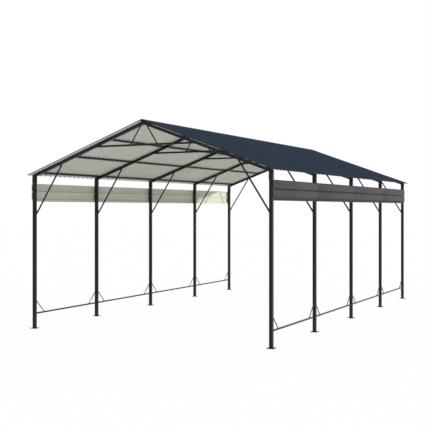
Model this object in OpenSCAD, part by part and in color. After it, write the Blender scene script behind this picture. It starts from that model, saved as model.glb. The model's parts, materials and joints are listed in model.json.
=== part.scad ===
// Gable carport: five square-tube frames, a ribbed sheet roof and short ribbed side panels.
// Millimetres. X runs across, Y from front to back, Z up; the feet stand on Z = 0.

/* [Layout] */
// Distance between left and right post centres
post_spacing = 3560; // [3200:10:3900]
// Length of the first and last bay between post centres
end_bay = 1455; // [1300:5:1700]
// Length of each of the two middle bays
middle_bay = 1570; // [1400:5:1800]
// Height of the rafter underside above a post centre
eave_height = 2086; // [1950:1:2300]
// Slope of the roof in degrees
roof_pitch = 20; // [16:0.5:25]

/* [Posts and feet] */
// Outer width of the square posts
post_size = 44; // [40:1:50]
// Wall of the post tube
post_wall = 2; // [1.5:0.1:3]
// Side of the square base plates
plate_size = 96; // [90:1:120]
// Thickness of the base plates
plate_thickness = 5; // [4:0.5:10]
// Corner radius of the base plates
plate_corner = 6; // [3:0.5:10]
// Diameter of the anchor holes
anchor_hole = 11; // [8:0.5:13]
// Distance of an anchor hole's centre from the plate's edges
anchor_inset = 14; // [12:0.5:17]

/* [Rafters and sleeves] */
// Corner radius of every square tube, in wall thicknesses
corner_walls = 2; // [1.2:0.1:2.4]
// Depth of the rafter tube, square to the slope
rafter_depth = 38; // [34:1:50]
// Width of the rafter tube, front to back
rafter_width = 38; // [34:1:50]
// Wall of the rafter tube
rafter_wall = 2; // [1.5:0.1:3]
// Wall of the eave sleeve
sleeve_wall = 2.5; // [2:0.1:4]
// Play between a post and its eave sleeve, each side
sleeve_clearance = 0.5; // [0.2:0.1:1.5]
// Length of the eave sleeve below the rafter underside at the post centre
sleeve_length = 85; // [70:1:140]

/* [Bracing] */
// Diameter of the knee brace tube
knee_diameter = 22; // [18:1:28]
// Wall of the knee brace tube
knee_wall = 1.5; // [1:0.1:2.5]
// Drop from the eave height to where the knee brace's axis crosses the post's inner face
knee_drop = 489; // [380:1:560]
// Reach of the knee brace's axis inward from the post's inner face, at the rafter's underside
knee_reach = 423; // [340:1:520]
// Width of the knee brace's flat ends
knee_end_width = 20; // [16:1:24]
// Thickness of the knee brace's flat ends
knee_end_thickness = 5; // [4:0.5:6]
// Side of the collar tie tube
collar_size = 25; // [20:1:35]
// Wall of the collar tie tube
collar_wall = 1.5; // [1:0.1:2.5]
// Rise of the collar tie's centre above the eave height
collar_rise = 389; // [340:1:430]
// Diameter of the apex struts
strut_diameter = 16; // [12:1:20]
// Wall of the apex struts
strut_wall = 1.5; // [1:0.1:2.5]
// Distance of a strut's upper end from the middle
strut_top = 50; // [40:1:80]
// Distance of a strut's lower end from the middle
strut_foot = 197; // [150:1:240]

/* [Purlins] */
// Side of the purlin tube
purlin_size = 25; // [20:1:35]
// Wall of the purlin tube
purlin_wall = 1.5; // [1:0.1:2.5]
// Distance of the eave purlin inside the post centre
purlin_inset = 55; // [40:1:140]
// Height of the purlins' tops above the rafters' tops, square to the slope
purlin_lift = 11; // [4:0.5:15]

/* [Low rails] */
// Side of the low rail tube
rail_size = 20; // [16:1:30]
// Wall of the low rail tube
rail_wall = 1.5; // [1:0.1:2.5]
// Height of the low rail's centre
rail_height = 205; // [150:5:300]
// Diameter of the short rail brace
brace_diameter = 12; // [10:0.5:18]
// Wall of the short rail brace
brace_wall = 1.5; // [1:0.1:2]
// Rise of a rail brace's upper end above the rail
brace_rise = 175; // [120:5:260]
// Distance of a rail brace's lower end from the post centre
brace_reach = 200; // [140:5:280]

/* [Sheets] */
// Thickness of the ribbed sheet
sheet_thickness = 0.6; // [0.5:0.1:1.2]
// Depth of the ribs
rib_depth = 12; // [8:0.5:18]
// Width of a groove's flat bottom
groove_width = 42; // [34:1:48]
// Width of a groove's sloping side
groove_side = 11; // [8:0.5:14]
// Number of ribs in each sheet
ribs_per_sheet = 8; // [7:1:9]
// Number of sheets on each slope
sheets_per_slope = 7; // [7:1:7]
// Distance of a lapped edge inside the crest that covers it
lap_inset = 5; // [3:0.5:8]
// Drop of the lapping edge down the covered rib's side
lap_drop = 6; // [3:0.5:7]
// Depth of the lip turned down along the gable edges
verge_lip = 12; // [5:0.5:14]
// Sheet beyond the first and last frame's centre
end_overhang = 55; // [40:1:90]
// Sheet beyond the post centre at the eaves
eave_overhang = 78; // [50:1:120]
// Distance of a sheet's upper edge from the middle
ridge_gap = 8; // [6:0.5:11]
// Width of each wing of the ridge cap
cap_wing = 110; // [80:5:180]

/* [Side panels] */
// Drop from the sleeve's lower edge to the panel's top edge
panel_drop = 3; // [1:0.5:20]
// Height of the side panels
panel_height = 248; // [240:1:270]
// Flat strip along the panel's top edge, above the last groove's middle
panel_top_strip = 3; // [2:0.5:7]
// Depth of the panel's ribs
panel_rib_depth = 12; // [8:0.5:18]
// Width of a panel groove's flat bottom
panel_groove_width = 12; // [10:1:18]
// Width of a panel groove's steep side
panel_groove_side = 6; // [5:0.5:10]
// Width of the sloping shoulder beside a panel groove
panel_shoulder = 16; // [8:0.5:18]
// Drop of the panel's shoulder as a share of its rib depth
panel_shoulder_drop = 0.2; // [0.1:0.05:0.35]
// Open joint between neighbouring panels
panel_joint = 0.5; // [0.5:0.5:10]

/* [Hidden] */
$fn = 32;
half = post_spacing / 2;
frame_ys = [-middle_bay - end_bay, -middle_bay, 0, middle_bay, middle_bay + end_bay];
bays = len(frame_ys) - 1;
slope = tan(roof_pitch);
rafter_rise = rafter_depth / cos(roof_pitch);
sleeve_inner = post_size + 2 * sleeve_clearance;
sleeve_size = sleeve_inner + 2 * sleeve_wall;
sleeve_bottom = eave_height - sleeve_length;
collar_z = eave_height + collar_rise;
purlin_spacing = (half - purlin_inset) / 3;
roof_length = frame_ys[4] - frame_ys[0] + 2 * end_overhang;
sheet_cover = roof_length / sheets_per_slope;
rib_pitch = sheet_cover / ribs_per_sheet;
crest_width = rib_pitch - groove_width - 2 * groove_side;
panel_top = sleeve_bottom - panel_drop;
rail_top = rail_height + rail_size / 2;
reach = 60;
knee_gap = 1;
frame_colour = [0.17, 0.18, 0.2];
roof_colour = [0.22, 0.25, 0.3];
panel_colour = [0.36, 0.36, 0.36];

// Rafter underside and top at a distance from the middle
function under(x) = eave_height + (half - x) * slope;
function over(x) = under(x) + rafter_rise;
// Plane on the purlins' tops, which carries the roof sheets
function deck(x) = over(x) + purlin_lift / cos(roof_pitch);

// One groove of the roof sheet as steps from the groove's middle
function roof_groove() = [
    [-groove_width / 2 - groove_side, rib_depth],
    [-groove_width / 2, 0],
    [groove_width / 2, 0],
    [groove_width / 2 + groove_side, rib_depth],
];

// One groove of the side panel, with a shoulder on either side
function panel_groove() = [
    [-panel_groove_width / 2 - panel_groove_side - panel_shoulder, panel_rib_depth],
    [-panel_groove_width / 2 - panel_groove_side, panel_rib_depth * (1 - panel_shoulder_drop)],
    [-panel_groove_width / 2, 0],
    [panel_groove_width / 2, 0],
    [panel_groove_width / 2 + panel_groove_side, panel_rib_depth * (1 - panel_shoulder_drop)],
    [panel_groove_width / 2 + panel_groove_side + panel_shoulder, panel_rib_depth],
];

// An outline moved to its left by a distance, with mitred corners
function left_of(v) = [-v[1], v[0]] / norm(v);
function raised(line, by) = [
    for (i = [0 : len(line) - 1])
        let (
            before = left_of(line[max(i, 1)] - line[max(i, 1) - 1]),
            after = left_of(line[min(i + 1, len(line) - 1)] - line[min(i, len(line) - 2)])
        )
        line[i] + by * (before + after) / (1 + before * after)
];

// Thin sheet between an outline and the same outline raised by the thickness
function thicken(line) = concat(
    raised(line, sheet_thickness),
    [for (i = [len(line) - 1 : -1 : 0]) line[i]]
);

// Front edge of a roof sheet: a lip at the gable, else it lies under its neighbour's last crest
function sheet_start(i) = i == 1
    ? [[sheet_thickness, rib_depth - verge_lip], [sheet_thickness, rib_depth]]
    : [[lap_inset - crest_width / 2, rib_depth]];

// Back edge of a roof sheet: a lip at the gable, else it laps over its neighbour's first crest and side
function lapped_rib() = [
    [0, rib_depth],
    [crest_width / 2, rib_depth],
    [crest_width / 2 + groove_side * lap_drop / rib_depth, rib_depth - lap_drop],
];
function sheet_end(i) = i == sheets_per_slope
    ? [[sheet_cover - sheet_thickness, rib_depth], [sheet_cover - sheet_thickness, rib_depth - verge_lip]]
    : concat(
        [[sheet_cover - crest_width / 2 + lap_inset / 2, rib_depth + sheet_thickness]],
        [for (k = [1 : 2]) raised(lapped_rib(), sheet_thickness)[k] + [sheet_cover, 0]]
    );

// Roof sheet outline from its front edge to its back edge
function sheet_line(i) = concat(
    sheet_start(i),
    [for (k = [0 : ribs_per_sheet - 1], p = roof_groove()) [(k + 0.5) * rib_pitch + p[0], p[1]]],
    sheet_end(i)
);

// Side panel outline: a flat lower lip, two full crests and a short upper lip
function groove_height(i) = panel_height - panel_top_strip - (2 - i) * rib_pitch;
function panel_line() = concat(
    [[0, 0]],
    [for (k = [3 : 5]) [groove_height(0) + panel_groove()[k][0], panel_groove()[k][1]]],
    [for (k = [0 : 5]) [groove_height(1) + panel_groove()[k][0], panel_groove()[k][1]]],
    [for (k = [0 : 2]) [groove_height(2) + panel_groove()[k][0], panel_groove()[k][1]]],
    [[panel_height, 0]]
);

module mirrored(side, axis = [1, 0, 0]) {
    if (side < 0) mirror(axis) children();
    else children();
}

// A flat outline in X and Z, given depth along Y about a middle plane
module upright(width) {
    translate([0, width / 2, 0]) rotate([90, 0, 0]) linear_extrude(width) children();
}

// Rectangle with rounded corners, centred
module rounded(size, radius) {
    square([size[0], size[1] - 2 * radius], center = true);
    square([size[0] - 2 * radius, size[1]], center = true);
    for (sx = [-1, 1], sy = [-1, 1])
        translate([sx * (size[0] / 2 - radius), sy * (size[1] / 2 - radius)]) circle(r = radius);
}

// Section of a tube with rounded outer corners
module tube_section(size, wall) {
    difference() {
        rounded(size, corner_walls * wall);
        square([size[0] - 2 * wall, size[1] - 2 * wall], center = true);
    }
}

// Square tube along Y, centred on its axis
module square_tube(size, wall, length) {
    rotate([90, 0, 0]) translate([0, 0, -length / 2]) linear_extrude(length) tube_section([size, size], wall);
}

// Round tube from one point to another in X and Z, run on past both
module slant_tube(from, to, diameter, wall) {
    run = to - from;
    long = norm(run) + 2 * reach;
    translate([from[0], 0, from[1]]) rotate([0, atan2(run[0], run[1]), 0]) translate([0, 0, -reach])
        difference() {
            cylinder(d = diameter, h = long);
            translate([0, 0, -1]) cylinder(d = diameter - 2 * wall, h = long + 2);
        }
}

module base_plate(side, y) {
    hole_at = plate_size / 2 - anchor_inset;
    color(frame_colour) translate([side * half, y, 0]) difference() {
        linear_extrude(plate_thickness) rounded([plate_size, plate_size], plate_corner);
        for (sx = [-1, 1], sy = [-1, 1])
            translate([sx * hole_at, sy * hole_at, -1]) cylinder(d = anchor_hole, h = plate_thickness + 2);
    }
}

// Everything under the rafters' undersides, as a slab about one frame
module below_rafter(width) {
    upright(width) polygon([[0, 0], [post_spacing, 0], [post_spacing, under(post_spacing)], [0, under(0)]]);
}

// Post tube, its top cut to the rafter's slope
module post(side, y) {
    color(frame_colour) mirrored(side) translate([0, y, 0]) intersection() {
        translate([half, 0, plate_thickness])
            linear_extrude(under(0)) tube_section([post_size, post_size], post_wall);
        below_rafter(2 * post_size);
    }
}

// Sleeve welded under the rafter's end, round the post's top
module eave_sleeve(side, y) {
    color(frame_colour) mirrored(side) translate([0, y, 0]) intersection() {
        translate([half, 0, sleeve_bottom])
            linear_extrude(under(0)) tube_section([sleeve_size, sleeve_size], sleeve_wall);
        below_rafter(2 * sleeve_size);
    }
}

// Rafter tube, cut upright at the ridge and at the sleeve's outer face
module rafter(side, y) {
    far = half + sleeve_size / 2;
    long = far / cos(roof_pitch) + 2 * reach;
    color(frame_colour) mirrored(side) translate([0, y, 0]) intersection() {
        translate([0, 0, under(0) + rafter_rise / 2]) rotate([0, 90 + roof_pitch, 0]) translate([0, 0, -reach])
            linear_extrude(long) tube_section([rafter_depth, rafter_width], rafter_wall);
        translate([0, -rafter_width, 0]) cube([far, 2 * rafter_width, over(0)]);
    }
}

// Flat end of a knee brace, a strip with a round tip that lies on a tube's side face
module flat_end(from, to, face) {
    translate([0, face + knee_end_thickness, 0]) rotate([90, 0, 0]) linear_extrude(knee_end_thickness) {
        translate([-knee_end_width / 2, min(from, to)]) square([knee_end_width, abs(to - from)]);
        translate([0, to]) circle(d = knee_end_width);
    }
}

// Knee brace beside a frame: a round tube, its flat ends on the inward sides of the post and the rafter
module knee_brace(side, frame) {
    foot = [half - post_size / 2, eave_height - knee_drop];
    tip = [foot[0] - knee_reach, under(foot[0] - knee_reach)];
    run = norm(tip - foot);
    lean = atan2(foot[0] - tip[0], tip[1] - foot[1]);
    start = (knee_diameter / 2 * cos(lean) + knee_gap) / sin(lean);
    stop = run - (knee_diameter / 2 * sin(lean + roof_pitch) + knee_gap) / cos(lean + roof_pitch);
    color(frame_colour) mirrored(side) translate([foot[0], frame_ys[frame], foot[1]])
        mirrored(frame == bays ? -1 : 1, [0, 1, 0]) rotate([0, -lean, 0]) {
            translate([0, post_size / 2 + knee_end_thickness, start]) difference() {
                cylinder(d = knee_diameter, h = stop - start);
                translate([0, 0, -1]) cylinder(d = knee_diameter - 2 * knee_wall, h = stop - start + 2);
            }
            flat_end(start + knee_end_width, -post_size / 2 / sin(lean), post_size / 2);
            flat_end(stop - knee_end_width, run + rafter_depth / 2 / cos(lean + roof_pitch), rafter_width / 2);
        }
}

// Level tie between the undersides of the two rafters
module collar_tie(y) {
    color(frame_colour) translate([0, y, 0]) intersection() {
        translate([0, 0, collar_z]) rotate([0, 0, 90]) square_tube(collar_size, collar_wall, post_spacing);
        upright(2 * collar_size)
            polygon([[-half, 0], [half, 0], [half, under(half)], [0, under(0)], [-half, under(half)]]);
    }
}

// Strut from the apex down to the top of the collar tie
module apex_strut(side, y) {
    top = collar_z + collar_size / 2;
    color(frame_colour) mirrored(side) translate([0, y, 0]) intersection() {
        slant_tube([strut_foot, top], [strut_top, under(strut_top)], strut_diameter, strut_wall);
        upright(2 * strut_diameter)
            polygon([[0, top], [half / 2, top], [half / 2, under(half / 2)], [0, under(0)]]);
    }
}

// Purlin between two neighbouring rafters, its top standing above theirs
module purlin(side, line, bay) {
    x = line * purlin_spacing;
    length = frame_ys[bay + 1] - frame_ys[bay] - rafter_width;
    color(frame_colour) mirrored(side) translate([x, (frame_ys[bay] + frame_ys[bay + 1]) / 2, deck(x)])
        rotate([0, roof_pitch, 0]) translate([0, 0, -purlin_size / 2])
            square_tube(purlin_size, purlin_wall, length);
}

// Ridge purlin under the upper edges of the sheets
module ridge_purlin(bay) {
    length = frame_ys[bay + 1] - frame_ys[bay] - rafter_width;
    color(frame_colour)
        translate([0, (frame_ys[bay] + frame_ys[bay + 1]) / 2, deck(purlin_size / 2) - purlin_size / 2])
            square_tube(purlin_size, purlin_wall, length);
}

module low_rail(side, bay) {
    length = frame_ys[bay + 1] - frame_ys[bay] - post_size;
    color(frame_colour) translate([side * half, (frame_ys[bay] + frame_ys[bay + 1]) / 2, rail_height])
        square_tube(rail_size, rail_wall, length);
}

// Short brace from a post's front or back face down to the top of the low rail
module rail_brace(side, frame, way) {
    face = post_size / 2;
    color(frame_colour) translate([side * half, frame_ys[frame], 0]) rotate([0, 0, way * 90]) intersection() {
        slant_tube([face, rail_top + brace_rise], [brace_reach, rail_top], brace_diameter, brace_wall);
        translate([face, -brace_diameter, rail_top])
            cube([2 * brace_reach, 2 * brace_diameter, 2 * brace_rise]);
    }
}

// Side panel over one bay, its grooves lying on the posts' outer faces
module side_panel(side, bay) {
    start = bay == 0 ? frame_ys[0] - post_size / 2 : frame_ys[bay] + panel_joint / 2;
    stop = bay == bays - 1 ? frame_ys[bays] + post_size / 2 : frame_ys[bay + 1] - panel_joint / 2;
    color(panel_colour) mirrored(side) translate([half + post_size / 2, stop, panel_top - panel_height])
        rotate([90, 0, 0]) linear_extrude(stop - start) polygon([for (p = thicken(panel_line())) [p[1], p[0]]]);
}

// One ribbed roof sheet, from the ridge to the eave
module roof_sheet(side, i) {
    length = (half + eave_overhang - ridge_gap) / cos(roof_pitch);
    front = -roof_length / 2 + (i - 1) * sheet_cover;
    color(roof_colour) mirrored(side) translate([ridge_gap, front, deck(ridge_gap)])
        rotate([0, roof_pitch, 0]) rotate([90, 0, 90]) linear_extrude(length) polygon(thicken(sheet_line(i)));
}

// Outline of the folded ridge cap, hanging down by a depth
module cap_fold(depth) {
    high = deck(0) + (rib_depth + 3 * sheet_thickness) / cos(roof_pitch);
    wing = cap_wing * cos(roof_pitch);
    fall = wing * slope;
    polygon([
        [-wing, high - fall - depth], [0, high - depth], [wing, high - fall - depth],
        [wing, high - fall], [0, high], [-wing, high - fall]
    ]);
}

// Folded cap over the ridge, lying on the sheets' laps, its ends turned down over the gable edges
module ridge_cap() {
    color(roof_colour) {
        upright(roof_length + 2 * sheet_thickness) cap_fold(sheet_thickness / cos(roof_pitch));
        for (end = [-1, 1])
            translate([0, end * (roof_length + sheet_thickness) / 2, 0])
                upright(sheet_thickness) cap_fold(verge_lip);
    }
}

for (y = frame_ys) post(-1, y);  // left_posts
for (y = frame_ys) post(1, y);  // right_posts
for (y = frame_ys) base_plate(-1, y);  // left_base_plates
for (y = frame_ys) base_plate(1, y);  // right_base_plates
for (y = frame_ys) eave_sleeve(-1, y);  // left_eave_sleeves
for (y = frame_ys) eave_sleeve(1, y);  // right_eave_sleeves
for (y = frame_ys) rafter(-1, y);  // left_rafters
for (y = frame_ys) rafter(1, y);  // right_rafters
for (i = [0 : bays]) knee_brace(-1, i);  // left_knee_braces
for (i = [0 : bays]) knee_brace(1, i);  // right_knee_braces
for (y = frame_ys) collar_tie(y);  // collar_ties
for (y = frame_ys) apex_strut(-1, y);  // left_apex_struts
for (y = frame_ys) apex_strut(1, y);  // right_apex_struts
for (b = [0 : bays - 1]) purlin(-1, 1, b);  // left_upper_purlins
for (b = [0 : bays - 1]) purlin(-1, 2, b);  // left_middle_purlins
for (b = [0 : bays - 1]) purlin(-1, 3, b);  // left_eave_purlins
for (b = [0 : bays - 1]) purlin(1, 1, b);  // right_upper_purlins
for (b = [0 : bays - 1]) purlin(1, 2, b);  // right_middle_purlins
for (b = [0 : bays - 1]) purlin(1, 3, b);  // right_eave_purlins
for (b = [0 : bays - 1]) ridge_purlin(b);  // ridge_purlins
for (b = [0 : bays - 1]) low_rail(-1, b);  // left_low_rails
for (b = [0 : bays - 1]) low_rail(1, b);  // right_low_rails
for (b = [0 : bays - 1]) {  // left_rail_braces
    rail_brace(-1, b, 1);
    rail_brace(-1, b + 1, -1);
}
for (b = [0 : bays - 1]) {  // right_rail_braces
    rail_brace(1, b, 1);
    rail_brace(1, b + 1, -1);
}
for (b = [0 : bays - 1]) side_panel(-1, b);  // left_side_panels
for (b = [0 : bays - 1]) side_panel(1, b);  // right_side_panels
ridge_cap();
for (i = [1 : sheets_per_slope]) {
    roof_sheet(-1, i);
    roof_sheet(1, i);
}
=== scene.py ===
import json
import math

import bpy
from mathutils import Matrix, Vector


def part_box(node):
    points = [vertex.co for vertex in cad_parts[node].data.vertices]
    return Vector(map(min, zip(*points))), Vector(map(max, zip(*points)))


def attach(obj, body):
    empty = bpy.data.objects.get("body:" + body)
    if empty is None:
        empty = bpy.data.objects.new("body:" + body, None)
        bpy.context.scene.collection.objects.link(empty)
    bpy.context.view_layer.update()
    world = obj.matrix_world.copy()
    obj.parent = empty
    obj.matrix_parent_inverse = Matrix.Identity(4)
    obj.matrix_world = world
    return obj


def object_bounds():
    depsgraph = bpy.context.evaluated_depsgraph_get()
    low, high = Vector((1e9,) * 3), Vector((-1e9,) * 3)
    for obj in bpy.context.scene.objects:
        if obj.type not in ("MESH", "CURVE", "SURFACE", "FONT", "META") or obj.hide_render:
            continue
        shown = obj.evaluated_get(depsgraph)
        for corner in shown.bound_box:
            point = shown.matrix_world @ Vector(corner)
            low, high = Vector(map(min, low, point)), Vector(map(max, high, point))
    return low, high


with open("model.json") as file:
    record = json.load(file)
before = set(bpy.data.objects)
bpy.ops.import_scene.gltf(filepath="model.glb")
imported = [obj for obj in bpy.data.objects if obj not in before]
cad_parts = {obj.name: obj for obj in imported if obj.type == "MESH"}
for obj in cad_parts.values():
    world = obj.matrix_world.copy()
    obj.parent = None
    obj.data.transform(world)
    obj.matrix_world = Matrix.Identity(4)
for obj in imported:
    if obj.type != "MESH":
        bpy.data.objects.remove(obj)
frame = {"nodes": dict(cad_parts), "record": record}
cad_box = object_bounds()
nodes = frame["nodes"]
scene = bpy.context.scene
scene.view_settings.view_transform = "Standard"

# Camera at the photograph's viewing angle, fitted to the post feet and roof corners
FRAME_PX = 430
FOCAL_PX = 817.48
HORIZON_PX = 208.30
EYE = (5.637, -11.921, 1.658)
LEVEL_DEG = 90
YAW_DEG = 27.382
SENSOR_MM = 36
VIEW_END = 200
camera_data = bpy.data.cameras.new("camera")
camera_data.sensor_width = SENSOR_MM
camera_data.lens = FOCAL_PX / FRAME_PX * SENSOR_MM
camera_data.shift_y = (HORIZON_PX - FRAME_PX / 2) / FRAME_PX
camera_data.clip_end = VIEW_END
camera = bpy.data.objects.new("camera", camera_data)
camera.location = EYE
camera.rotation_euler = (math.radians(LEVEL_DEG), 0, math.radians(YAW_DEG))
scene.collection.objects.link(camera)
scene.camera = camera


# Sizes read from the frame
def centre(node, axis):
    low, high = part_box(node)
    return (low[axis] + high[axis]) / 2


def extent(node, axis):
    low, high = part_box(node)
    return high[axis] - low[axis]


X, Y, Z = range(3)
HALF = centre("right_posts", X)
POST = extent("right_posts", X)
PLATE = extent("right_base_plates", Z)
SLEEVE = extent("right_eave_sleeves", X)
SLEEVE_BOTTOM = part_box("right_eave_sleeves")[0][Z]
COLLAR = extent("collar_ties", Z)
COLLAR_Z = centre("collar_ties", Z)
RAIL = extent("right_low_rails", X)
RAIL_Z = centre("right_low_rails", Z)
PANEL_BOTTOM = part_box("right_side_panels")[0][Z]
PURLIN_LINES = [centre(f"right_{line}_purlins", X) for line in ("upper", "middle", "eave")]
EAVE_END = cad_box[1][X]

# Sizes that the boxes don't give, in metres, as in the construction
END_BAY = 1.455
MIDDLE_BAY = 1.570
PITCH_DEG = 20
EAVE_HEIGHT = 2.086
RAFTER = 0.038
PURLIN = 0.025
PURLIN_LIFT = 0.011
KNEE_RADIUS = 0.011
KNEE_DROP = 0.489
KNEE_REACH = 0.423
KNEE_END = 0.005
KNEE_GAP = 0.001
STRUT_RADIUS = 0.008
STRUT_TOP = 0.050
STRUT_FOOT = 0.197
BRACE_RADIUS = 0.006
BRACE_RISE = 0.175
BRACE_REACH = 0.200
ROOF_END = 3.080
RIB_PITCH = 0.110
RIB_DEPTH = 0.012
SHEET = 0.0006
RIBS_PER_SHEET = 8
SHEETS = 7
CAP_WING = 0.110

# Values worked out from these
FRAME_YS = (-MIDDLE_BAY - END_BAY, -MIDDLE_BAY, 0.0, MIDDLE_BAY, MIDDLE_BAY + END_BAY)
LAST_FRAME = len(FRAME_YS) - 1
PITCH = math.radians(PITCH_DEG)
SLOPE = math.tan(PITCH)
RAFTER_RISE = RAFTER / math.cos(PITCH)
RAFTER_END = HALF + SLEEVE / 2
PANEL_PLANE = HALF + POST / 2
SHEET_COVER = RIB_PITCH * RIBS_PER_SHEET
ROOF_RIBS = RIBS_PER_SHEET * SHEETS

# Left and right, front and back, and the unit vectors of the frame
SIDES = (-1, 1)
WAYS = (-1, 1)
AXES = [Vector(v) for v in ((1, 0, 0), (0, 1, 0), (0, 0, 1))]


def under(x):
    """Height of the rafters' undersides at a distance from the middle."""
    return EAVE_HEIGHT + (HALF - x) * SLOPE


def deck(x):
    """Height of the plane that carries the roof sheets."""
    return under(x) + (RAFTER + PURLIN_LIFT) / math.cos(PITCH)


def slope_down(side):
    """The direction down a roof slope."""
    return Vector((side * math.cos(PITCH), 0, -math.sin(PITCH)))


def slope_normal(side):
    """The direction square out of a roof slope."""
    return Vector((side * math.sin(PITCH), 0, math.cos(PITCH)))


# Noise: detail of soft clouds and of fine grain, and the spans that spread its values out
CLOUD_DETAIL = 4.0
GRAIN_DETAIL = 2.0
NOISE_ROUGHNESS = 0.55
SPREAD = (0.3, 0.7)
WIDE_SPREAD = (0.25, 0.75)

# Height of a bump, and the sockets of a Mix node that hold its factor and colours
BUMP_HEIGHT = 0.001
MIX_FACTOR = 0
MIX_A = 6
MIX_B = 7
MIX_RESULT = 2


class Shader:
    """Builds one procedural material, node by node."""

    def __init__(self, name):
        self.material = bpy.data.materials.new(name)
        self.material.use_nodes = True
        self.tree = self.material.node_tree
        self.tree.nodes.clear()
        self.out = self.add("ShaderNodeOutputMaterial")

    def add(self, kind, inputs=None, **settings):
        node = self.tree.nodes.new(kind)
        for key, value in settings.items():
            setattr(node, key, value)
        for key, value in (inputs or {}).items():
            self.feed(node.inputs[key], value)
        return node

    def feed(self, socket, value):
        """Links a socket to another one, or sets it to a constant."""
        if isinstance(value, bpy.types.NodeSocket):
            self.tree.links.new(value, socket)
        else:
            socket.default_value = value

    def math(self, operation, a, b=0.0):
        return self.add("ShaderNodeMath", {0: a, 1: b}, operation=operation).outputs[0]

    def vector_math(self, operation, a, b):
        return self.add("ShaderNodeVectorMath", {0: a, 1: b}, operation=operation).outputs

    def split(self, vector):
        return self.add("ShaderNodeSeparateXYZ", {0: vector}).outputs

    def mix(self, factor, a, b):
        inputs = {MIX_FACTOR: factor, MIX_A: a, MIX_B: b}
        return self.add("ShaderNodeMix", inputs, data_type="RGBA").outputs[MIX_RESULT]

    def ramp(self, value, span, to=(0.0, 1.0)):
        """Takes a span of values to another one, and holds at its ends."""
        inputs = {"Value": value, "From Min": span[0], "From Max": span[1]}
        inputs.update({"To Min": to[0], "To Max": to[1]})
        return self.add("ShaderNodeMapRange", inputs, clamp=True).outputs[0]

    def noise(self, vector, scale, detail=CLOUD_DETAIL):
        inputs = {"Vector": vector, "Scale": scale, "Detail": detail, "Roughness": NOISE_ROUGHNESS}
        return self.add("ShaderNodeTexNoise", inputs).outputs["Fac"]

    def chance(self, value):
        """A random value for each whole number."""
        inputs = {"W": self.math("FLOOR", value)}
        return self.add("ShaderNodeTexWhiteNoise", inputs, noise_dimensions="1D").outputs["Value"]

    def bump(self, vector, scale, strength):
        """A normal that follows a fine grain."""
        grain = self.noise(vector, scale, GRAIN_DETAIL)
        inputs = {"Strength": strength, "Distance": BUMP_HEIGHT, "Height": grain}
        return self.add("ShaderNodeBump", inputs).outputs[0]

    def finish(self, **inputs):
        """Ends in a Principled shader, where an underscore in a name stands for a space."""
        named = {key.replace("_", " "): value for key, value in inputs.items()}
        shader = self.add("ShaderNodeBsdfPrincipled", named)
        self.tree.links.new(shader.outputs[0], self.out.inputs[0])
        return self.material


def shade(tone, factor=1.0):
    """A tone made lighter or darker, as a colour with alpha."""
    return [channel * factor for channel in tone] + [1]


# Paint on the steel frame
FRAME_BLACK = (0.0100, 0.0104, 0.0155)
PLATE_BLACK = (0.0100, 0.0104, 0.0130)
SCREW_NAVY = (0.024, 0.031, 0.046)
PAINT_IOR = 1.28
PLATE_IOR = 1.10
PAINT_CLOUD_SCALE = 3.0
PAINT_GRAIN_SCALE = 90.0
PAINT_MOTTLE = (0.85, 1.18)
PAINT_ROUGHNESS = (0.26, 0.36)
PAINT_BUMP_SCALE = 420.0
PAINT_BUMP = 0.10

# Wear of the paint along edges: how far an edge turns, in which grain it shows, its share and tone
WEAR_RADIUS = 0.003
WEAR_SAMPLES = 4
WEAR_TURN = (0.99, 0.8)
WEAR_GRAIN = (0.4, 0.7)
WEAR_SHARE = 0.4
WEAR_TONE = 2.8

# Dust on the paint: below a height, and on faces that look up
DUST_BROWN = (0.09, 0.085, 0.075)
DUST_GRAIN = (0.35, 0.7)
DUST_HEIGHT = 0.35
LOW_DUST = 0.12
LOOKS_UP = (0.5, 1.0)
TOP_DUST = 0.10
PLATE_TOP_DUST = 0.02


def painted(name, tone, ior=PAINT_IOR, top_dust=TOP_DUST):
    """Dark satin paint on steel: faint mottling, worn edges, a little dust low down and on top."""
    s = Shader(name)
    place = s.add("ShaderNodeNewGeometry").outputs
    pos = place["Position"]
    normal = place["True Normal"]
    clouds = s.noise(pos, PAINT_CLOUD_SCALE)
    grain = s.noise(pos, PAINT_GRAIN_SCALE, GRAIN_DETAIL)
    darkest, lightest = PAINT_MOTTLE
    colour = s.mix(s.ramp(clouds, SPREAD), shade(tone, darkest), shade(tone, lightest))

    bevel = s.add("ShaderNodeBevel", {"Radius": WEAR_RADIUS}, samples=WEAR_SAMPLES).outputs[0]
    turn = s.vector_math("DOT_PRODUCT", bevel, normal)["Value"]
    wear = s.math("MULTIPLY", s.ramp(turn, WEAR_TURN), s.ramp(grain, WEAR_GRAIN, (0.0, WEAR_SHARE)))
    colour = s.mix(wear, colour, shade(tone, WEAR_TONE))

    low = s.ramp(s.split(pos)["Z"], (DUST_HEIGHT, 0.0), (0.0, LOW_DUST))
    top = s.ramp(s.split(normal)["Z"], LOOKS_UP, (0.0, top_dust))
    dust = s.math("MULTIPLY", s.math("MAXIMUM", low, top), s.ramp(grain, DUST_GRAIN))
    colour = s.mix(dust, colour, shade(DUST_BROWN))

    rough = s.ramp(clouds, WIDE_SPREAD, PAINT_ROUGHNESS)
    grainy = s.bump(pos, PAINT_BUMP_SCALE, PAINT_BUMP)
    return s.finish(Base_Color=colour, Roughness=rough, IOR=ior, Normal=grainy)


# Coated sheet: tones of the two sides, of the gable overhang's underside as a painted light, and of dust
# specks
NAVY = (0.0388, 0.0530, 0.0774)
CREAM = (0.594, 0.629, 0.553)
VERGE_PAINTED_LIGHT = (0.92, 0.94, 0.92)
PANEL_GREY = (0.0390, 0.0402, 0.0421)
PANEL_CREAM = (0.598, 0.642, 0.538)
SPECK_GREY = (0.35, 0.35, 0.33)
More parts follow.
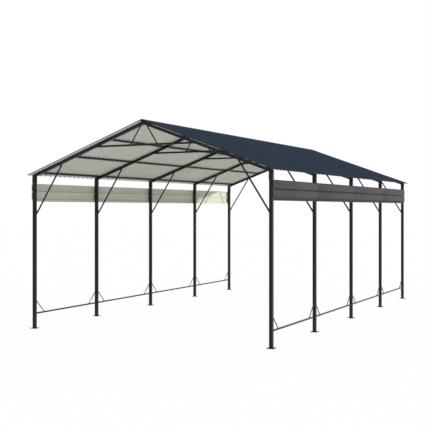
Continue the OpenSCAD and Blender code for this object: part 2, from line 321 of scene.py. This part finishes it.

# Weather side: streaks along the ribs, a tone for each sheet, grooves darkened as painted shade, and a
# panel lighter towards its back end
ROOF_STREAKS = (1.2, 26.0, 1.2)
PANEL_STREAKS = (26.0, 1.2, 26.0)
STREAK_TONES = (0.90, 1.10)
BATCH_SHARE = 0.5
BATCH_TONE = 1.18
GROOVE_SHADE_SHARE = 0.6
GROOVE_SHADE_TONE = 0.45
ROOF_CREST = (0.75 * RIB_DEPTH, 0.95 * RIB_DEPTH)
PANEL_CREST = (PANEL_PLANE + 0.2 * RIB_DEPTH, PANEL_PLANE + RIB_DEPTH)
BACK_END_SHARE = 0.80
BACK_END_TONE = 1.6

# Back coat: clouds, a tone for each sheet, and painted shade on the sheets' ends along the right eave and
# under the ridge cap
SHEET_CLOUD_SCALE = 1.6
CLOUD_TONES = (0.97, 1.03)
BACK_BATCH_SHARE = 0.25
BACK_BATCH_TONE = 0.94
EAVE_SHADE_WIDTH = 0.025
EAVE_SHADE = (EAVE_END - EAVE_SHADE_WIDTH, EAVE_END - EAVE_SHADE_WIDTH / 2)
RIDGE_SHADE = (0.0380, 0.0304)

# Surface of the sheets
SPECK_SCALE = 60.0
SPECK_GRAIN = (0.55, 0.8)
SPECK_SHARE = 0.05
ROOF_GLOSS = {"ior": 1.45, "specular": 0.0, "roughness": 0.7}
PANEL_GLOSS = {"ior": 1.12, "specular": 0.5, "roughness": 0.50}
ROUGHNESS_VARIES = 0.06
SHEET_BUMP_SCALE = 260.0
SHEET_BUMP = 0.06

# Place along Y, times the normal's Y, beyond which a roof face is a gable lip's outer face
LIP_PLACE = 2.9


def weather_side(s, pos, tone, streaks, batch):
    """Dark coat with streaks, and a tone of its own on each sheet."""
    run = s.vector_math("MULTIPLY", pos, streaks)[0]
    darkest, lightest = STREAK_TONES
    coat = s.mix(s.ramp(s.noise(run, 1.0), SPREAD), shade(tone, darkest), shade(tone, lightest))
    return s.mix(s.math("MULTIPLY", batch, BATCH_SHARE), coat, shade(tone, BATCH_TONE))


def back_side(s, pos, tone, batch):
    """Back coat with soft clouds, and a tone of its own on each sheet."""
    clouds = s.noise(pos, SHEET_CLOUD_SCALE)
    darkest, lightest = CLOUD_TONES
    coat = s.mix(s.ramp(clouds, SPREAD), shade(tone, darkest), shade(tone, lightest))
    return s.mix(s.math("MULTIPLY", batch, BACK_BATCH_SHARE), coat, shade(tone, BACK_BATCH_TONE))


def coated(s, pos, colour, ior, specular, roughness):
    """Ends a sheet's material with specks of dust, uneven roughness and a fine grain."""
    specks = s.ramp(s.noise(pos, SPECK_SCALE, GRAIN_DETAIL), SPECK_GRAIN, (0.0, SPECK_SHARE))
    colour = s.mix(specks, colour, shade(SPECK_GREY))
    varied = (roughness - ROUGHNESS_VARIES, roughness + ROUGHNESS_VARIES)
    rough = s.ramp(s.noise(pos, SHEET_CLOUD_SCALE), WIDE_SPREAD, varied)
    grainy = s.bump(pos, SHEET_BUMP_SCALE, SHEET_BUMP)
    gloss = {"Roughness": rough, "IOR": ior, "Specular_IOR_Level": specular}
    return s.finish(Base_Color=colour, Normal=grainy, **gloss)


def roof_sheet(name, outer, inner, overhang):
    """Roof sheet: weather side above with painted shade in the grooves; back coat below with painted shade
    at the eave and ridge ends, and an overhang tone that is a painted light on the roof coat.
    """
    s = Shader(name)
    place = s.add("ShaderNodeNewGeometry").outputs
    pos = place["Position"]
    spot = s.split(pos)
    normal = s.split(place["True Normal"])
    batch = s.chance(s.math("DIVIDE", s.math("ADD", spot["Y"], ROOF_END), SHEET_COVER))
    reach = s.math("ABSOLUTE", spot["X"])

    level = s.math("ADD", spot["Z"], s.math("MULTIPLY", reach, SLOPE))
    rise = s.math("MULTIPLY", s.math("SUBTRACT", level, deck(0)), math.cos(PITCH))
    # Grooves darker than the crests: painted shade in the recesses
    groove = s.ramp(rise, ROOF_CREST, (GROOVE_SHADE_SHARE, 0.0))
    weather = weather_side(s, pos, outer, ROOF_STREAKS, batch)
    weather = s.mix(groove, weather, shade(outer, GROOVE_SHADE_TONE))

    # The underside over the gable overhangs is paler: a painted light
    lit_verge = s.math("GREATER_THAN", s.math("ABSOLUTE", spot["Y"]), FRAME_YS[-1] + RAFTER / 2)
    # The sheets' ends along the right eave and under the ridge cap take the dark top coat's tone: painted
    # shade
    shaded_end = s.math("MAXIMUM", s.ramp(spot["X"], EAVE_SHADE), s.ramp(reach, RIDGE_SHADE))
    back = back_side(s, pos, inner, batch)
    back = s.mix(lit_verge, back, shade(overhang))
    back = s.mix(shaded_end, back, shade(outer))

    lip = s.math("GREATER_THAN", s.math("MULTIPLY", spot["Y"], normal["Y"]), LIP_PLACE)
    outward = s.math("GREATER_THAN", s.math("ADD", normal["Z"], lip), 0.0)
    return coated(s, pos, s.mix(outward, back, weather), **ROOF_GLOSS)


def panel_sheet(name, outer, inner):
    """Side panel with a weather side that grows lighter from its front end to its back end, and painted
    shade in its grooves.
    """
    s = Shader(name)
    place = s.add("ShaderNodeNewGeometry").outputs
    pos = place["Position"]
    spot = s.split(pos)
    normal = s.split(place["True Normal"])
    along = s.math("DIVIDE", s.math("ADD", spot["Y"], 2 * MIDDLE_BAY), MIDDLE_BAY)
    batch = s.chance(along)

    # Each panel grows lighter from its front end to its back end
    toward_back_end = s.math("MULTIPLY", s.math("FRACT", along), BACK_END_SHARE)
    # Grooves darker than the crests: painted shade in the recesses
    groove = s.ramp(s.math("ABSOLUTE", spot["X"]), PANEL_CREST, (GROOVE_SHADE_SHARE, 0.0))
    weather = weather_side(s, pos, outer, PANEL_STREAKS, batch)
    weather = s.mix(toward_back_end, weather, shade(outer, BACK_END_TONE))
    weather = s.mix(groove, weather, shade(outer, GROOVE_SHADE_TONE))

    outward = s.math("GREATER_THAN", s.math("MULTIPLY", spot["X"], normal["X"]), 0.0)
    back = back_side(s, pos, inner, batch)
    return coated(s, pos, s.mix(outward, back, weather), **PANEL_GLOSS)


frame_paint = painted("frame_paint", FRAME_BLACK)
screw_paint = painted("screw_paint", SCREW_NAVY)
plate_paint = painted("plate_paint", PLATE_BLACK, PLATE_IOR, PLATE_TOP_DUST)
roof_coat = roof_sheet("roof_coat", NAVY, CREAM, VERGE_PAINTED_LIGHT)
# The ridge cap is dark on its underside too: painted shade under the cap
cap_coat = roof_sheet("cap_coat", NAVY, NAVY, NAVY)
panel_coat = panel_sheet("panel_coat", PANEL_GREY, PANEL_CREAM)

slots = {row["node"]: row["material_slot"] for row in frame["record"]["subparts"]}
looks = {"frame_paint": frame_paint, "roof_sheet": roof_coat, "panel_sheet": panel_coat}
special = {"ridge_cap": cap_coat, "left_base_plates": plate_paint, "right_base_plates": plate_paint}
for name, obj in nodes.items():
    obj.data.materials.clear()
    obj.data.materials.append(special.get(name, looks[slots[name]]))

# Weld beads: radius of a post's bead and of the others, spacing and size of the ripples, sides
BEAD = 0.0030
SMALL_BEAD = 0.0020
BEAD_STEP = 0.0032
BEAD_RIPPLE = 0.16
BEAD_SIDES = 6
FEWEST_STEPS = 4


class Pieces:
    """Collects many small closed shapes and makes one object of them."""

    def __init__(self):
        self.points = []
        self.faces = []

    def loft(self, rings, loop=False):
        """Skins equal rings of points, closing the two ends unless the rings run round in a loop."""
        base = len(self.points)
        count = len(rings[0])
        for ring in rings:
            self.points.extend(ring)
        spans = len(rings) if loop else len(rings) - 1
        for i in range(spans):
            here = base + i * count
            there = base + (i + 1) % len(rings) * count
            for j in range(count):
                k = (j + 1) % count
                self.faces.append((here + j, here + k, there + k, there + j))
        if not loop:
            last = base + (len(rings) - 1) * count
            self.faces.append(tuple(range(base + count - 1, base - 1, -1)))
            self.faces.append(tuple(range(last, last + count)))

    def lathe(self, place, profile, sides):
        """A turned shape from radius and height steps, standing on a placement's Z axis."""
        rings = []
        for radius, height in profile:
            middle = Vector((0, 0, height))
            ring = ellipse(middle, AXES[X] * radius, AXES[Y] * radius, sides)
            rings.append([place @ point for point in ring])
        self.loft(rings)

    def bead(self, path, radius, closed=True):
        """A rippled weld bead along a path of points."""
        points = resampled(path, BEAD_STEP, closed)
        rings = []
        for i, point in enumerate(points):
            before = points[i - 1] if closed or i else points[0]
            after = points[(i + 1) % len(points)] if closed or i + 1 < len(points) else points[-1]
            along = (after - before).normalized()
            across = along.orthogonal().normalized()
            up = along.cross(across)
            r = radius * (1 + BEAD_RIPPLE * (-1) ** i)
            rings.append(ellipse(point, across * r, up * r, BEAD_SIDES))
        self.loft(rings, loop=closed)

    def build(self, name, material):
        mesh = bpy.data.meshes.new(name)
        mesh.from_pydata([tuple(p) for p in self.points], [], self.faces)
        mesh.validate()
        mesh.materials.append(material)
        obj = bpy.data.objects.new(name, mesh)
        scene.collection.objects.link(obj)
        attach(obj, "root")


def resampled(path, step, closed):
    """Evenly spaced points along a path, an even number of them on a closed one."""
    corners = [Vector(p) for p in path]
    if closed:
        corners.append(corners[0])
    lengths = [(b - a).length for a, b in zip(corners, corners[1:])]
    total = sum(lengths)
    count = max(FEWEST_STEPS, 2 * round(total / step / 2))
    wanted = [total * i / count for i in range(count if closed else count + 1)]
    points = []
    gone = 0.0
    i = 0
    for distance in wanted:
        while i < len(lengths) - 1 and gone + lengths[i] < distance:
            gone += lengths[i]
            i += 1
        points.append(corners[i].lerp(corners[i + 1], (distance - gone) / lengths[i]))
    return points


def ellipse(middle, across, up, steps=24):
    """Points round an ellipse with two given half axes."""
    turns = [math.tau * j / steps for j in range(steps)]
    return [middle + across * math.cos(a) + up * math.sin(a) for a in turns]


def rounded_loop(middle, across, up, width, height, radius, steps=3):
    """Points round a rectangle with rounded corners, in the plane of two unit vectors."""
    points = []
    for quarter, (sx, sy) in enumerate(((1, 1), (-1, 1), (-1, -1), (1, -1))):
        corner = middle + across * (sx * (width / 2 - radius)) + up * (sy * (height / 2 - radius))
        for j in range(steps + 1):
            a = math.pi / 2 * (quarter + j / steps)
            points.append(corner + radius * (across * math.cos(a) + up * math.sin(a)))
    return points


def facing(point, normal):
    """A placement at a point with its Z axis along a normal."""
    turn = Vector(normal).to_track_quat("Z", "Y").to_matrix().to_4x4()
    return Matrix.Translation(point) @ turn


def on_roof(side, x, y, lift):
    """A placement on a roof slope, raised off the deck along the slope's normal."""
    normal = slope_normal(side)
    return facing(Vector((side * x, y, deck(x))) + normal * lift, normal)


# Fasteners: hexagon heads on washers, as steps of radius and height
WASHER = ((0.0070, 0.0), (0.0072, 0.0006), (0.0066, 0.0017), (0.0045, 0.0020))
SMALL_WASHER = [(0.8 * radius, height) for radius, height in WASHER]
SCREW_HEAD = ((0.0046, 0.0018), (0.0046, 0.0052), (0.0041, 0.0060), (0.0020, 0.0062))
BOLT_WASHER = ((0.0088, 0.0), (0.0090, 0.0005), (0.0087, 0.0016), (0.0060, 0.0017))
BOLT_HEAD = ((0.0072, 0.0015), (0.0073, 0.0060), (0.0066, 0.0069), (0.0040, 0.0071))
STUD_END = ((0.0039, 0.0060), (0.0039, 0.0108), (0.0031, 0.0118), (0.0015, 0.0119))
ROUND_SIDES = 16
HEX_SIDES = 6


def screw(pieces, place, washer=WASHER):
    pieces.lathe(place, washer, ROUND_SIDES)
    pieces.lathe(place, SCREW_HEAD, HEX_SIDES)


def bolt(pieces, place, with_stud):
    pieces.lathe(place, BOLT_WASHER, ROUND_SIDES)
    pieces.lathe(place, BOLT_HEAD, HEX_SIDES)
    if with_stud:
        pieces.lathe(place, STUD_END, ROUND_SIDES)


# Roof screws: in the grooves over the purlins, through the cap's wings into the crests, and on the laps
GROOVE_STEP = 2
CREST_STEP = 4
CAP_SCREW_INSET = 0.022
CAP_SCREW_X = (CAP_WING - CAP_SCREW_INSET) * math.cos(PITCH)
LAP_SCREW_XS = (0.30, 0.86, 1.44)
roof_screws = Pieces()
for side in SIDES:
    for rib in range(0, ROOF_RIBS, GROOVE_STEP):
        groove_y = (rib + 0.5) * RIB_PITCH - ROOF_END
        for x in PURLIN_LINES:
            screw(roof_screws, on_roof(side, x, groove_y, SHEET))
    for crest in range(CREST_STEP // 2, ROOF_RIBS, CREST_STEP):
        crest_y = crest * RIB_PITCH - ROOF_END
        screw(roof_screws, on_roof(side, CAP_SCREW_X, crest_y, RIB_DEPTH + 3 * SHEET))
    for lap in range(1, SHEETS):
        lap_y = lap * SHEET_COVER - ROOF_END
        for x in LAP_SCREW_XS:
            screw(roof_screws, on_roof(side, x, lap_y, RIB_DEPTH + 2 * SHEET))
roof_screws.build("roof_screws", screw_paint)

# Panel screws: in the lower lip and in the groove, on every post that a panel ends at
PANEL_SCREW_INSET = 0.012
PANEL_LIP_SCREW = 0.013
PANEL_GROOVE_SCREW = 0.135
panel_screws = Pieces()
for side in SIDES:
    for i, y in enumerate(FRAME_YS):
        panel_ends = (y,) if i in (0, LAST_FRAME) else (y - PANEL_SCREW_INSET, y + PANEL_SCREW_INSET)
        for end_y in panel_ends:
            for rise in (PANEL_LIP_SCREW, PANEL_GROOVE_SCREW):
                point = Vector((side * (PANEL_PLANE + SHEET), end_y, PANEL_BOTTOM + rise))
                screw(panel_screws, facing(point, (side, 0, 0)), SMALL_WASHER)
panel_screws.build("panel_screws", frame_paint)

# Bolts through the eave sleeves, with the stud's end at the back
SLEEVE_BOLT_RISE = 0.042
sleeve_bolts = Pieces()
for side in SIDES:
    for y in FRAME_YS:
        for way in WAYS:
            point = Vector((side * HALF, y + way * SLEEVE / 2, SLEEVE_BOTTOM + SLEEVE_BOLT_RISE))
            bolt(sleeve_bolts, facing(point, (0, way, 0)), with_stud=way > 0)
sleeve_bolts.build("sleeve_bolts", frame_paint)

# Plugs in the rafters' open ends at the eaves: steps outward, and growth of each side over the rafter's
PLUG_STEPS = ((-0.006, -0.0022), (0.0, -0.0010), (0.0012, -0.0010), (0.0022, -0.0030))
PLUG_CORNER = 0.004
rafter_plugs = Pieces()
for side in SIDES:
    for y in FRAME_YS:
        rings = []
        for out, growth in PLUG_STEPS:
            middle = Vector((side * (RAFTER_END + out), y, under(RAFTER_END) + RAFTER_RISE / 2))
            width = RAFTER + 2 * growth
            height = RAFTER_RISE + 2 * growth
            corner = PLUG_CORNER + growth
            rings.append(rounded_loop(middle, AXES[Y] * side, AXES[Z], width, height, corner))
        rafter_plugs.loft(rings)
rafter_plugs.build("rafter_plugs", frame_paint)

# Weld beads where the frame's tubes meet, and the bolts of the knee braces
TUBE_CORNER = 0.004
SMALL_CORNER = 0.002


def weld_tube(pieces, middle, along, normal, radius):
    """A bead where a round tube ends on a flat face: the tube's section stretched over that face."""
    across = normal.cross(along).normalized()
    down = across.cross(normal)
    pieces.bead(ellipse(middle, across * radius, down * (radius / abs(along.dot(normal)))), SMALL_BEAD)


def weld_foot(pieces, side, y):
    """A bead round a post on its foot plate."""
    foot = Vector((side * HALF, y, PLATE))
    pieces.bead(rounded_loop(foot, AXES[X], AXES[Y], POST, POST, TUBE_CORNER), BEAD)


def weld_sleeve(pieces, side, y):
    """A bead round the top of an eave sleeve, under the rafter."""
    eave = Vector((side * HALF, y, under(HALF)))
    length = SLEEVE / math.cos(PITCH)
    pieces.bead(rounded_loop(eave, slope_down(side), AXES[Y], length, RAFTER, TUBE_CORNER), SMALL_BEAD)


def join_knee(welds, bolts, side, y, inward):
    """Beads where a knee brace's tube meets its flat ends, and a bolt through each end."""
    face = HALF - POST / 2
    tip = face - KNEE_REACH
    foot = Vector((side * face, y, EAVE_HEIGHT - KNEE_DROP))
    head = Vector((side * tip, y, under(tip)))
    knee = (head - foot).normalized()
    square = knee.cross(AXES[Y])
    up = slope_normal(side)
    steep = abs(knee.dot(AXES[X]))
    flat = abs(knee.dot(up))
    start = (KNEE_RADIUS * abs(square.dot(AXES[X])) + KNEE_GAP) / steep
    stop = (KNEE_RADIUS * abs(square.dot(up)) + KNEE_GAP) / flat
    beside = AXES[Y] * (inward * (POST / 2 + KNEE_END))
    for end in (foot + knee * start + beside, head - knee * stop + beside):
        welds.bead(ellipse(end, AXES[Y] * KNEE_RADIUS, square * KNEE_RADIUS), SMALL_BEAD)
    on_post = foot - knee * (POST / 2 / steep) + beside
    on_rafter = head + knee * (RAFTER / 2 / flat) + AXES[Y] * (inward * (RAFTER / 2 + KNEE_END))
    for spot in (on_post, on_rafter):
        bolt(bolts, facing(spot, AXES[Y] * inward), with_stud=False)


def weld_strut(pieces, side, y):
    """Beads at both ends of an apex strut."""
    foot = Vector((side * STRUT_FOOT, y, COLLAR_Z + COLLAR / 2))
    top = Vector((side * STRUT_TOP, y, under(STRUT_TOP)))
    strut = (top - foot).normalized()
    weld_tube(pieces, foot, strut, AXES[Z], STRUT_RADIUS)
    weld_tube(pieces, top, strut, slope_normal(side), STRUT_RADIUS)


def weld_collar(pieces, side, y):
    """A bead round a collar tie's slanted end on the rafter."""
    end = Vector((side * (HALF - (COLLAR_Z - EAVE_HEIGHT) / SLOPE), y, COLLAR_Z))
    length = COLLAR / math.sin(PITCH)
    pieces.bead(rounded_loop(end, slope_down(side), AXES[Y], length, COLLAR, SMALL_CORNER), SMALL_BEAD)


def weld_rail(pieces, side, y, way):
    """Beads round a low rail's end on a post, and at both ends of its brace."""
    end = Vector((side * HALF, y + way * POST / 2, RAIL_Z))
    pieces.bead(rounded_loop(end, AXES[X], AXES[Z], RAIL, RAIL, SMALL_CORNER), SMALL_BEAD)
    top = end + AXES[Z] * (RAIL / 2 + BRACE_RISE)
    foot = Vector((side * HALF, y + way * BRACE_REACH, RAIL_Z + RAIL / 2))
    brace = (top - foot).normalized()
    weld_tube(pieces, top, brace, AXES[Y], BRACE_RADIUS)
    weld_tube(pieces, foot, brace, AXES[Z], BRACE_RADIUS)


def weld_purlins(pieces, side, y, way):
    """Beads round the sides and underside of the purlins' ends on a rafter."""
    down = slope_down(side)
    normal = slope_normal(side)
    hold = PURLIN_LIFT + TUBE_CORNER
    corners = ((-1, hold), (-1, PURLIN), (1, PURLIN), (1, hold))
    for x in PURLIN_LINES:
        top = Vector((side * x, y + way * RAFTER / 2, deck(x)))
        path = [top + down * (edge * PURLIN / 2) - normal * depth for edge, depth in corners]
        pieces.bead(path, SMALL_BEAD, closed=False)


def weld_ridge(pieces, y):
    """A bead where two rafters meet: up both faces and along the underside."""
    crown = under(0) + RAFTER_RISE - TUBE_CORNER
    corners = ((-1, crown), (-1, under(0)), (1, under(0)), (1, crown))
    path = [Vector((0, y + RAFTER / 2 * way, z)) for way, z in corners]
    pieces.bead(path, SMALL_BEAD, closed=False)


foot_welds = Pieces()
rail_welds = Pieces()
gable_welds = Pieces()
purlin_welds = Pieces()
knee_bolts = Pieces()
for side in SIDES:
    for i, y in enumerate(FRAME_YS):
        weld_foot(foot_welds, side, y)
        weld_sleeve(gable_welds, side, y)
        join_knee(gable_welds, knee_bolts, side, y, inward=-1 if i == LAST_FRAME else 1)
        weld_strut(gable_welds, side, y)
        weld_collar(gable_welds, side, y)
        for way in WAYS:
            if 0 <= i + way <= LAST_FRAME:
                weld_rail(rail_welds, side, y, way)
                weld_purlins(purlin_welds, side, y, way)
for y in FRAME_YS:
    weld_ridge(gable_welds, y)
foot_welds.build("foot_welds", frame_paint)
rail_welds.build("rail_welds", frame_paint)
gable_welds.build("gable_welds", frame_paint)
purlin_welds.build("purlin_welds", frame_paint)
knee_bolts.build("knee_bolts", frame_paint)


def backdrop_seen(tree):
    """One where a ray comes from the camera or from a glossy or clear surface."""
    path = tree.nodes.new("ShaderNodeLightPath")
    seen = path.outputs["Is Camera Ray"]
    for kind in ("Is Glossy Ray", "Is Transmission Ray"):
        either = tree.nodes.new("ShaderNodeMath")
        either.operation = "MAXIMUM"
        tree.links.new(seen, either.inputs[0])
        tree.links.new(path.outputs[kind], either.inputs[1])
        seen = either.outputs[0]
    return seen


# Pale floor that keeps a faint shadow and reads as white
WHITE = (1, 1, 1, 1)
FLOOR_SIZE = 120
FLOOR_DROP = 0.0005
FLOOR_GREY = (0.86, 0.86, 0.86, 1)
FLOOR_WHITE = 0.96
ground = Shader("floor")
plain = ground.add("ShaderNodeBsdfDiffuse", {"Color": FLOOR_GREY}).outputs[0]
white = ground.add("ShaderNodeEmission", {"Color": WHITE, "Strength": 1.0}).outputs[0]
pale = ground.add("ShaderNodeMixShader", {0: FLOOR_WHITE, 1: plain, 2: white}).outputs[0]
shown = ground.add("ShaderNodeMixShader", {0: backdrop_seen(ground.tree), 1: plain, 2: pale}).outputs[0]
ground.tree.links.new(shown, ground.out.inputs[0])
bpy.ops.mesh.primitive_plane_add(size=FLOOR_SIZE, location=(0, 0, -FLOOR_DROP))
floor = bpy.context.object
floor.name = "floor"
floor.data.materials.append(ground.material)

# World: a white backdrop, and soft cool light on the object
SOFT_LIGHT = 0.675
SOFT_TONE = (0.93, 0.97, 1.0, 1)
world = bpy.data.worlds.new("world")
scene.world = world
world.use_nodes = True
tree = world.node_tree
tree.nodes.clear()
out = tree.nodes.new("ShaderNodeOutputWorld")
soft = tree.nodes.new("ShaderNodeBackground")
soft.inputs["Color"].default_value = SOFT_TONE
soft.inputs["Strength"].default_value = SOFT_LIGHT
backdrop = tree.nodes.new("ShaderNodeBackground")
backdrop.inputs["Color"].default_value = WHITE
backdrop.inputs["Strength"].default_value = 1.0
choose = tree.nodes.new("ShaderNodeMixShader")
tree.links.new(backdrop_seen(tree), choose.inputs[0])
tree.links.new(soft.outputs[0], choose.inputs[1])
tree.links.new(backdrop.outputs[0], choose.inputs[2])
tree.links.new(choose.outputs[0], out.inputs[0])

# Key light from the right and behind, low enough to reach the last left panel through the back gable
KEY_LIGHT = 3.42
KEY_FROM = (0.755, 0.532, 0.384)
KEY_ANGLE_DEG = 2
KEY_TONE = (1.0, 0.87, 0.86)
key_data = bpy.data.lights.new("key", "SUN")
key_data.energy = KEY_LIGHT
key_data.angle = math.radians(KEY_ANGLE_DEG)
key_data.color = KEY_TONE
key = bpy.data.objects.new("key", key_data)
key.rotation_euler = Vector(KEY_FROM).to_track_quat("Z", "Y").to_euler()
scene.collection.objects.link(key)
